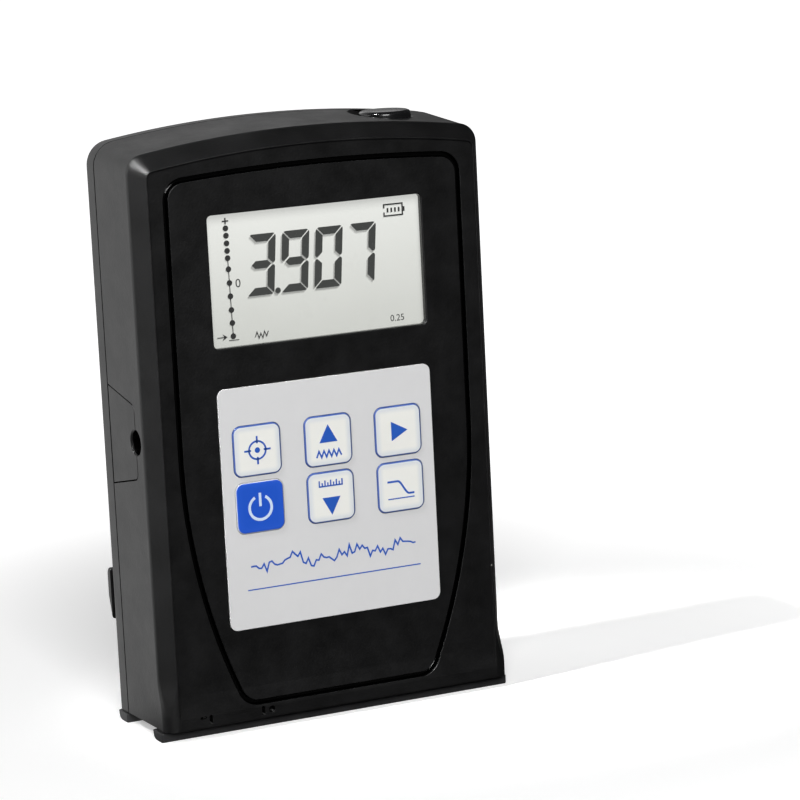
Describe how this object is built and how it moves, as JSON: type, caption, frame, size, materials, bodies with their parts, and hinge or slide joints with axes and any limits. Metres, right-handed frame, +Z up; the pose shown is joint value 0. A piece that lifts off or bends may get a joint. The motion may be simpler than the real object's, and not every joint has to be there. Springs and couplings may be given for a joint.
{
  "type": "surface roughness tester",
  "caption": "Pocket surface roughness tester: arched housing with a bevelled front, display, keypad and top push button, foot rails, and a driven stylus pickup in the base.",
  "frame": {"origin": "Centre of the bounding box's underside, on the surface that both foot rails rest on.", "axes": "+Z up along the height, +Y from the display face towards the back, +X to the right seen from the front."},
  "size_m": [0.0676, 0.0256, 0.106],
  "materials": {
    "housing_front": "fine-grained black moulding",
    "housing_rear": "fine-grained black moulding",
    "cover_black": "fine-grained black moulding",
    "thumb_black": "fine-grained black moulding",
    "rail_black": "satin black moulding",
    "button_black": "glossy black cap",
    "lens_clear": "clear polished lens",
    "lcd_face": "pale grey display face",
    "diffuser_white": "white diffuser",
    "overlay_pale": "pale printed film",
    "key_calibrate_face": "cream key cap, blue outline",
    "key_power_face": "blue key cap, white symbol",
    "key_up_face": "cream key cap, blue arrow",
    "key_down_face": "cream key cap, blue arrow",
    "key_start_face": "cream key cap, blue symbol",
    "key_cutoff_face": "cream key cap, blue symbol",
    "switch_black": "black switch body",
    "board_green": "green circuit board",
    "jack_black": "black component body",
    "cell_wrap": "blue shrink wrap",
    "frame_steel": "brushed sheet metal",
    "drive_brass": "turned brass",
    "bright_steel": "ground steel",
    "nylon_white": "natural white moulding",
    "pickup_black": "black moulding",
    "screw_steel": "dark plated steel"
  },
  "bodies": {
    "case": {"front_housing": "housing_front", "rear_housing": "housing_rear", "jack_cover": "cover_black", "front_rail": "rail_black", "rear_rail": "rail_black", "display_window": "lens_clear", "lcd_panel": "lcd_face", "lcd_backlight": "diffuser_white", "keypad_overlay": "overlay_pale", "main_board": "board_green", "switch_calibrate": "switch_black", "switch_power": "switch_black", "switch_up": "switch_black", "switch_down": "switch_black", "switch_start": "switch_black", "switch_cutoff": "switch_black", "top_switch": "switch_black", "buzzer": "jack_black", "charging_jack": "jack_black", "battery_pack": "cell_wrap", "drive_frame": "frame_steel", "drive_motor": "frame_steel", "gearbox": "drive_brass", "guide_rod": "bright_steel", "case_screw_1": "screw_steel", "case_screw_2": "screw_steel", "case_screw_3": "screw_steel", "case_screw_4": "screw_steel"},
    "calibrate_key": {"key_calibrate": "key_calibrate_face"},
    "power_key": {"key_power": "key_power_face"},
    "up_key": {"key_up": "key_up_face"},
    "down_key": {"key_down": "key_down_face"},
    "start_key": {"key_start": "key_start_face"},
    "cutoff_key": {"key_cutoff": "key_cutoff_face"},
    "top_push_button": {"top_button": "button_black"},
    "screw": {"lead_screw": "drive_brass"},
    "pickup_carriage": {"carriage": "nylon_white", "pivot_pin": "bright_steel"},
    "pickup": {"pickup_body": "pickup_black", "skid": "bright_steel", "stylus_tip": "bright_steel"},
    "lifter": {"thumb_slide": "thumb_black", "lift_bar": "bright_steel"}
  },
  "joints": [
    {"name": "key_calibrate_press", "type": "slide", "parent": "case", "child": "calibrate_key", "axis": [0, 1, 0], "range_m": [0, 0.0004], "stiffness_N_per_m": 800, "springref_m": -0.0002},
    {"name": "key_power_press", "type": "slide", "parent": "case", "child": "power_key", "axis": [0, 1, 0], "range_m": [0, 0.0004], "stiffness_N_per_m": 800, "springref_m": -0.0002},
    {"name": "key_up_press", "type": "slide", "parent": "case", "child": "up_key", "axis": [0, 1, 0], "range_m": [0, 0.0004], "stiffness_N_per_m": 800, "springref_m": -0.0002},
    {"name": "key_down_press", "type": "slide", "parent": "case", "child": "down_key", "axis": [0, 1, 0], "range_m": [0, 0.0004], "stiffness_N_per_m": 800, "springref_m": -0.0002},
    {"name": "key_start_press", "type": "slide", "parent": "case", "child": "start_key", "axis": [0, 1, 0], "range_m": [0, 0.0004], "stiffness_N_per_m": 800, "springref_m": -0.0002},
    {"name": "key_cutoff_press", "type": "slide", "parent": "case", "child": "cutoff_key", "axis": [0, 1, 0], "range_m": [0, 0.0004], "stiffness_N_per_m": 800, "springref_m": -0.0002},
    {"name": "top_button_press", "type": "slide", "parent": "case", "child": "top_push_button", "axis": [0, 0, -1], "range_m": [0, 0.0008], "stiffness_N_per_m": 600, "springref_m": -0.0004},
    {"name": "thumb_lift", "type": "slide", "parent": "case", "child": "lifter", "axis": [0, 0, 1], "range_m": [0, 0.0025]},
    {"name": "screw_spin", "type": "hinge", "parent": "case", "child": "screw", "pos_m": [0.0072, 0.0006, 0.0166], "axis": [1, 0, 0], "range_deg": [0, 1800]},
    {"name": "carriage_traverse", "type": "slide", "parent": "case", "child": "pickup_carriage", "axis": [1, 0, 0], "range_m": [0, 0.01]},
    {"name": "pickup_tilt", "type": "hinge", "parent": "pickup_carriage", "child": "pickup", "pos_m": [-0.0132, -0.00045, 0.008], "axis": [0, 1, 0], "range_deg": [0, 14]}
  ],
  "couplings": [
    {"joint": "screw_spin", "follows": "carriage_traverse", "rad_per_m": 3141.5},
    {"joint": "pickup_tilt", "follows": "thumb_lift", "rad_per_m": 97.7}
  ]
}
